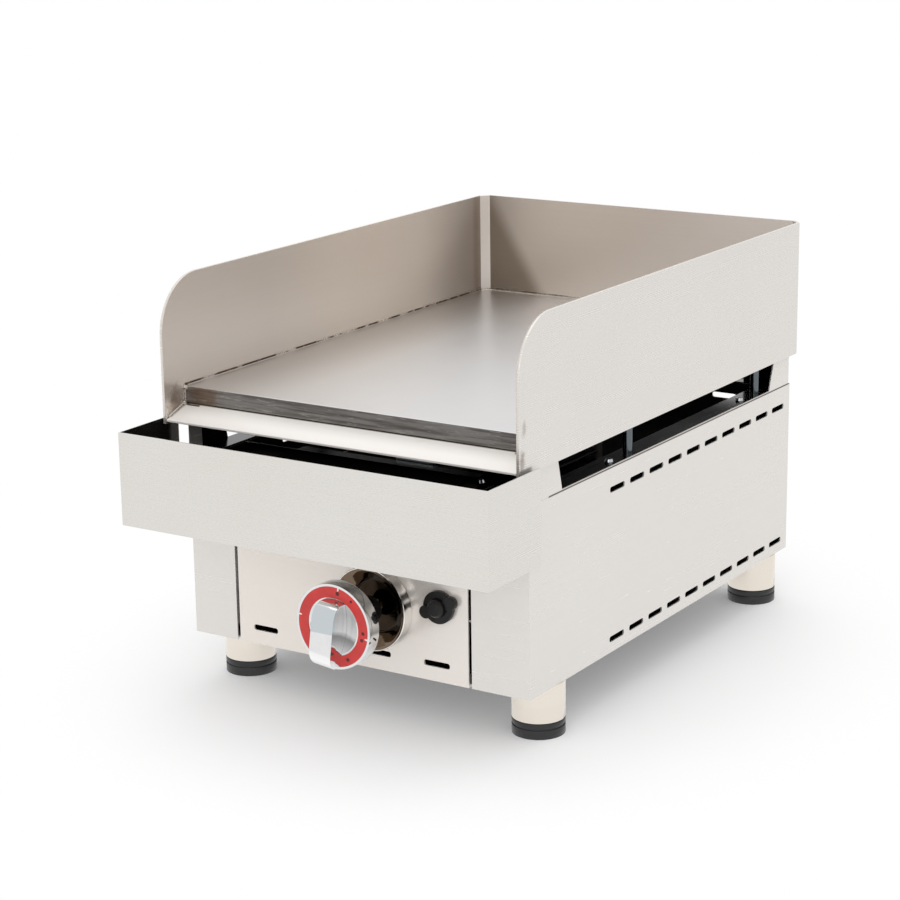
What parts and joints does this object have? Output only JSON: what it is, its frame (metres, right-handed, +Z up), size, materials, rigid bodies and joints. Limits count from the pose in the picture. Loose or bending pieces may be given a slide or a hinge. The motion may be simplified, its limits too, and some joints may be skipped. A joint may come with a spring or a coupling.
{
  "type": "flat top griddle",
  "caption": "Countertop gas flat top griddle with smooth steel plate, three-sided splash guard, front grease tray, chrome control knob, push igniter and levelling feet.",
  "frame": {"origin": "under the middle of the whole object's box, on the plane of the feet", "axes": "+X to the right seen from the front, +Y from the control panel to the back, +Z up"},
  "size_m": [0.352, 0.5684, 0.3525],
  "materials": {
    "casing_steel": "brushed",
    "back_steel": "satin",
    "guard_steel": "brushed",
    "plate_steel": "ground",
    "dark_steel": "heat darkened",
    "zinc": "zinc plated",
    "burner_iron": "matt black",
    "brass": "machined",
    "copper": "drawn tube",
    "ceramic": "glazed",
    "black_plastic": "moulded",
    "chrome": "polished",
    "dial_red": "printed",
    "foot_steel": "satin",
    "foot_black": "moulded"
  },
  "bodies": {
    "casing": {"side_panel_left": "casing_steel", "side_panel_right": "casing_steel", "base_plate": "back_steel", "rear_panel": "back_steel", "control_panel": "casing_steel", "tray_retainer": "dark_steel", "collar_left": "casing_steel", "collar_right": "casing_steel", "collar_rear": "casing_steel", "griddle_plate": "plate_steel", "splash_guard": "guard_steel", "grease_chute": "casing_steel", "plate_studs": "zinc", "stud_washers": "zinc", "stud_nuts": "zinc", "collar_screws": "zinc", "collar_nuts": "zinc", "retainer_screws": "zinc", "rear_panel_screws": "zinc", "base_screws": "zinc", "heat_shield": "dark_steel", "burner_bridge": "dark_steel", "bridge_screws": "zinc", "burner_bowl": "burner_iron", "burner_cap": "burner_iron", "mixing_tube": "burner_iron", "air_shutter": "zinc", "injector_bracket": "zinc", "injector": "brass", "burner_pipe": "copper", "valve_bracket": "zinc", "valve_body": "brass", "valve_screws": "zinc", "supply_pipe": "copper", "gas_inlet_fitting": "brass", "inlet_locknut": "brass", "thermocouple": "zinc", "thermocouple_lead": "copper", "spark_ceramic": "ceramic", "spark_wire": "zinc", "ignition_lead": "black_plastic", "igniter_body": "black_plastic", "igniter_bezel": "black_plastic", "igniter_nut": "black_plastic", "knob_bezel": "chrome", "bezel_disc": "black_plastic", "foot_tubes": "foot_steel", "foot_nuts": "zinc"},
    "tap_push": {"thrust_ring": "zinc"},
    "knob": {"valve_spindle": "zinc", "knob_hub": "black_plastic", "knob_skirt": "chrome", "knob_dial": "dial_red", "knob_grip": "chrome"},
    "igniter": {"igniter_button": "black_plastic"},
    "tray": {"grease_tray": "casing_steel"},
    "foot_front_left": {"foot_base_front_left": "foot_black"},
    "foot_front_right": {"foot_base_front_right": "foot_black"},
    "foot_rear_left": {"foot_base_rear_left": "foot_black"},
    "foot_rear_right": {"foot_base_rear_right": "foot_black"}
  },
  "joints": [
    {"name": "knob_push", "type": "slide", "parent": "casing", "child": "tap_push", "axis": [0, 1, 0], "range_m": [0, 0.005], "stiffness_N_per_m": 900, "springref_m": -0.002},
    {"name": "knob_turn", "type": "hinge", "parent": "tap_push", "child": "knob", "pos_m": [0.021, -0.2618, 0.0985], "axis": [0, -1, 0], "range_deg": [0, 180]},
    {"name": "igniter_press", "type": "slide", "parent": "casing", "child": "igniter", "axis": [0, 1, 0], "range_m": [0, 0.006], "stiffness_N_per_m": 700, "springref_m": -0.002},
    {"name": "tray_pull", "type": "slide", "parent": "casing", "child": "tray", "axis": [0, -1, 0], "range_m": [0, 0.1]},
    {"name": "foot_level_front_left", "type": "slide", "parent": "casing", "child": "foot_front_left", "axis": [0, 0, -1], "range_m": [0, 0.01]},
    {"name": "foot_level_front_right", "type": "slide", "parent": "casing", "child": "foot_front_right", "axis": [0, 0, -1], "range_m": [0, 0.01]},
    {"name": "foot_level_rear_left", "type": "slide", "parent": "casing", "child": "foot_rear_left", "axis": [0, 0, -1], "range_m": [0, 0.01]},
    {"name": "foot_level_rear_right", "type": "slide", "parent": "casing", "child": "foot_rear_right", "axis": [0, 0, -1], "range_m": [0, 0.01]}
  ]
}
